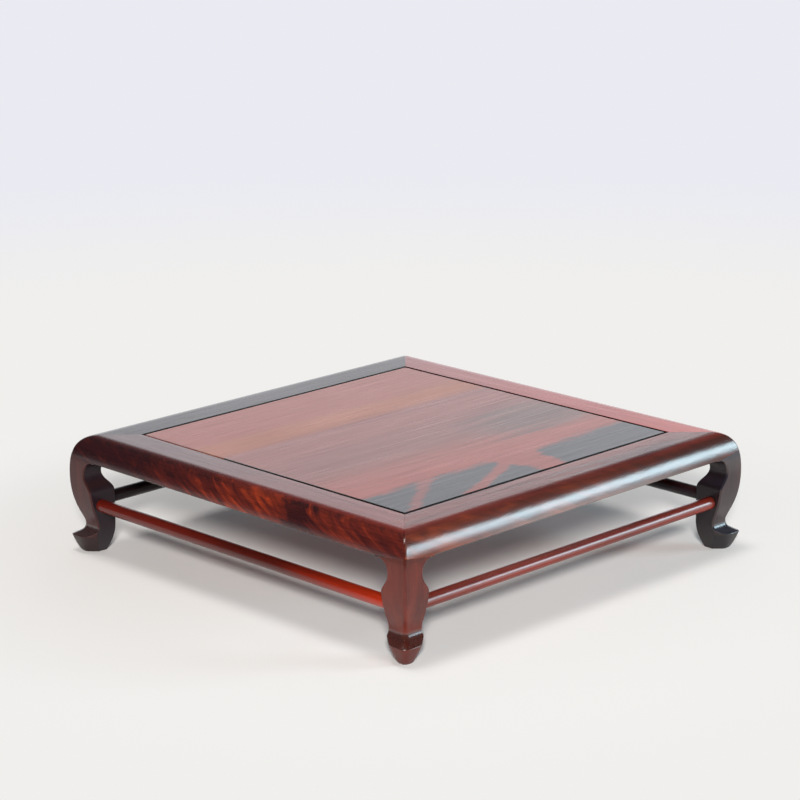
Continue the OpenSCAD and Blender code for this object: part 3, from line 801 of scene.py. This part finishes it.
looks = {
    "railFrontRight": {**railWood, "grain": "y", "coat": 0.07, "edgeCoat": 1.0, "endShine": 0.1,
                       "coatRough": 0.29, "coatIor": 3.0, "bump": 0.9, "shift": (1.7, 0.3, 0.2),
                       "tones": ((0.3, "#46171a"), (0.46, "#6a2822"), (0.58, "#762c24"), (0.72, "#843424"))},
    "railBackRight": {**railWood, "grain": "x", "coat": 0.05, "shift": (0.4, 0.9, 0.1),
                      "across": ((-100, "#8a2018"), (0, "#a02a20"), (100, "#ba3a2a"))},
    "railBackLeft": {**railWood, "grain": "y", "coat": 0.02, "shift": (3.1, 1.2, 0.6),
                     "tones": ((0.3, "#141014"), (0.5, "#22181e"), (0.72, "#3a2026"))},
    "railFrontLeft": {**railWood, "grain": "x", "shift": (2.2, 0.7, 0.5), "closed": ("X", -40, -20),
                      "wander": 8 * mm, "across": ((-100, "#46181a"), (-20, "#5c1e1d"), (100, "#862d23"))},
    "boardWide": {**boardWood, "shift": (0.6, 0.2, 0.1),
                  "across": ((-30, "#823022"), (-14, "#88311f"), (2, "#7d3022"), (18, "#7c3326"),
                             (30, "#8e3520"), (44, "#99351a"), (56, "#962f18"), (80, "#922c18"))},
    "boardNarrow": {**boardWood, "coat": 0.1, "shift": (0.1, 0.5, 0.4), "closed": ("Y", -74, -71),
                    "across": ((-80, "#9a4432"), (-62, "#9a4331"), (-48, "#9a4230"), (-43, "#9e4c24"),
                               (-36, "#a3501e"), (-30, "#9c4a20"), (-26, "#8f3c22"))},
    "batten": {**wax, "grain": "x", "tones": ((0.3, "#3c1713"), (0.5, "#5a241b"), (0.7, "#703022"))},
    "legFront": {**legWood, "sole": "#571e15", "scoop": "#421a12",
                 "tones": ((0.3, "#4c1b15"), (0.5, "#612319"), (0.7, "#712b1c"))},
    "legLeft": {**legWood, "sole": "#261515", "shift": (0.7, 0.2, 0),
                "tones": ((0.3, "#311615"), (0.5, "#3f1917"), (0.7, "#491e19"))},
    # its inside colour is painted shade; its bluish scoop colour is end grain under painted shade and a
    # painted reflection
    "legRight": {**legWood, "coat": 0.14, "shoulderCoat": 0.6, "sole": "#150e10", "inside": "#181216",
                 "scoop": "#26242e", "shift": (1.9, 0.4, 0),
                 "tones": ((0.3, "#261819"), (0.5, "#332122"), (0.7, "#3f2726"))},
    "legBack": {**legWood, "sole": "#241414", "shift": (2.6, 0.9, 0),
                "tones": ((0.3, "#2d1917"), (0.5, "#3e1f1d"), (0.7, "#4a2520"))},
    "stretcherFrontRight": {**barWood, "grain": "y", "coat": 1.0, "underCoat": 0.03, "coatRough": 0.28,
                            "coatIor": 2.4, "tones": ((0.3, "#5b160d"), (0.5, "#732114"), (0.7, "#862c1a"))},
    "stretcherFrontLeft": {**barWood, "grain": "x", "wander": 6 * mm,
                           "across": ((-85, "#621910"), (-40, "#62190f"), (0, "#4a120b"), (30, "#4e130a"),
                                      (60, "#86210d"), (85, "#a62b10"))},
    "stretcherBackLeft": {**paintedShadeBar, "grain": "y"},
    "stretcherBackRight": {**paintedShadeBar, "grain": "x"},
}
figures = {"boardWide": heartwood}
figures.update((name, paintGapShade) for name in ("boardNarrow", "railBackLeft", "railBackRight"))
figures.update((name, flamed(flame)) for name, flame in flames.items())
figures.update((name, darkerFootAndPaintedShade) for name, node, degrees in legs["pieces"])
woods = {}
for name, look in looks.items():
    woods[name] = rosewood("waxedRosewood" + name[0].upper() + name[1:], look, figures.get(name))
for group in (railPieces, legPieces, boardPieces, stretcherPieces):
    for nodeName, piece in group.items():
        piece.data.materials.clear()
        piece.data.materials.append(woods[piece.name])
        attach(piece, "root")
        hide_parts(nodeName)
for nodeName in ("batten_front", "batten_back"):
    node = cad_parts[nodeName]
    node.data.materials.clear()
    node.data.materials.append(woods["batten"])
print("materials:", len(woods), "woods")


# stage: pale floor, soft light and the camera

stage = {
    "floorSize": 8.0, "floorParts": 4, "floorColour": "#f0efed", "floorRough": 0.95, "floorSpecular": 0.1,
    # how far from the stand's centre the floor starts to glow as painted light, and then turns cooler
    "glowRange": (0.11, 0.25), "farColour": "#eaebf2", "coolRange": (0.45, 0.9),
    "worldColour": "#eef1f6", "worldStrength": 0.06,
    # name, place, size, watts, colour, and whether it shows in gloss: the others are polarised against glare
    "lamps": (("windowLamp", (1.68, 1.9, 0.6), (0.92, 0.76), 10.0, "#d6f3ff", True),
              ("windowFill", (1.68, 1.9, 0.6), (0.92, 0.76), 26.0, "#d6f3ff", False),
              ("backdropLamp", (-1.4, 1.4, 0.44), (3.4, 0.86), 14.3, "#f4f5fa", True),
              ("frontLamp", (1.53, -1.53, 1.03), (0.3, 0.3), 63.0, "#fffbf8", False),
              ("ceilingLamp", (-0.21, -0.165, 2.4), (0.65, 0.65), 19.0, "#fffbf8", True)),
    "cameraFromTop": (0.756887, -0.753240, 0.309192), "azimuth": 45.2476, "elevation": 15.4326,
    "roll": -0.3291, "focal": 2656.36, "imageSide": 800, "sensorWidth": 36, "clipStart": 0.01,
}


def makeFloor():
    clearSelection()
    bpy.ops.mesh.primitive_grid_add(x_subdivisions=stage["floorParts"], y_subdivisions=stage["floorParts"],
                                    size=stage["floorSize"])
    floor = bpy.context.object
    floor.name = "floor"
    material = bpy.data.materials.new("paperWithPaintedGlow")  # studio paper, flat and pale; further out it glows for camera and gloss rays, painted light that evens out the far floor and lightens the stand's shadows there
    material.use_nodes = True
    tree = material.node_tree
    tree.nodes.clear()
    place = addNode(tree, "TexCoord").outputs["Object"]
    away = addNode(tree, "VectorMath", {"operation": "LENGTH"}, {0: place}).outputs["Value"]
    share = addNode(tree, "MapRange", {**softly, "From": stage["glowRange"]}, {"Value": away}).outputs[0]
    rays = addNode(tree, "LightPath").outputs
    seen = rays["Is Camera Ray"]
    for kind in ("Is Glossy Ray", "Is Transmission Ray"):
        seen = addNode(tree, "Math", {"operation": "MAXIMUM"}, {0: seen, 1: rays[kind]}).outputs[0]
    share = addNode(tree, "Math", multiply, {0: share, 1: seen}).outputs[0]
    paper = addNode(tree, "BsdfPrincipled", {"Base Color": srgb(stage["floorColour"]),
                                             "Roughness": stage["floorRough"],
                                             "Specular IOR Level": stage["floorSpecular"]}).outputs[0]
    cool = addNode(tree, "MapRange", {**softly, "From": stage["coolRange"]}, {"Value": away}).outputs[0]
    tint = addNode(tree, "Mix", {**inColour, "A": srgb(stage["floorColour"]), "B": srgb(stage["farColour"])},
                   {0: cool}).outputs[2]
    glow = addNode(tree, "Emission", None, {"Color": tint}).outputs[0]
    mixed = addNode(tree, "MixShader", None, {0: share, 1: paper, 2: glow}).outputs[0]
    addNode(tree, "OutputMaterial", None, {"Surface": mixed})
    floor.data.materials.append(material)


def makeLamps():
    for name, place, size, power, colour, inGloss in stage["lamps"]:
        bpy.ops.object.light_add(type="AREA", location=place)
        lamp = bpy.context.object
        lamp.name = name
        lamp.data.shape = "RECTANGLE"
        lamp.data.size, lamp.data.size_y = size
        lamp.data.energy = power
        lamp.data.color = srgb(colour)[:3]
        lamp.visible_camera = False
        lamp.visible_glossy = inGloss
        aim = Vector((0, 0, topZ / 2)) - Vector(place)
        lamp.rotation_euler = aim.to_track_quat("-Z", "Y").to_euler()
    world = bpy.data.worlds.new("studio")
    world.use_nodes = True
    sky = world.node_tree.nodes["Background"].inputs
    sky["Color"].default_value = srgb(stage["worldColour"])
    sky["Strength"].default_value = stage["worldStrength"]
    bpy.context.scene.world = world


def makeCamera():
    azimuth, elevation, roll = (math.radians(stage[k]) for k in ("azimuth", "elevation", "roll"))
    flat = math.cos(elevation)
    back = Vector((math.sin(azimuth) * flat, -math.cos(azimuth) * flat, math.sin(elevation)))
    right = Vector((math.cos(azimuth), math.sin(azimuth), 0))
    up = back.cross(right)
    turned = right * math.cos(roll) + up * math.sin(roll), up * math.cos(roll) - right * math.sin(roll), back
    bpy.ops.object.camera_add()
    camera = bpy.context.object
    camera.data.sensor_width = stage["sensorWidth"]
    camera.data.lens = stage["focal"] / stage["imageSide"] * stage["sensorWidth"]
    camera.data.clip_start = stage["clipStart"]
    spot = Vector(stage["cameraFromTop"]) + Vector((0, 0, topZ))
    camera.matrix_world = Matrix.Translation(spot) @ Matrix(turned).transposed().to_4x4()
    bpy.context.scene.camera = camera


makeFloor()
makeLamps()
makeCamera()
bpy.context.scene.view_settings.view_transform = "Standard"
print("stage: floor, lamps and camera")
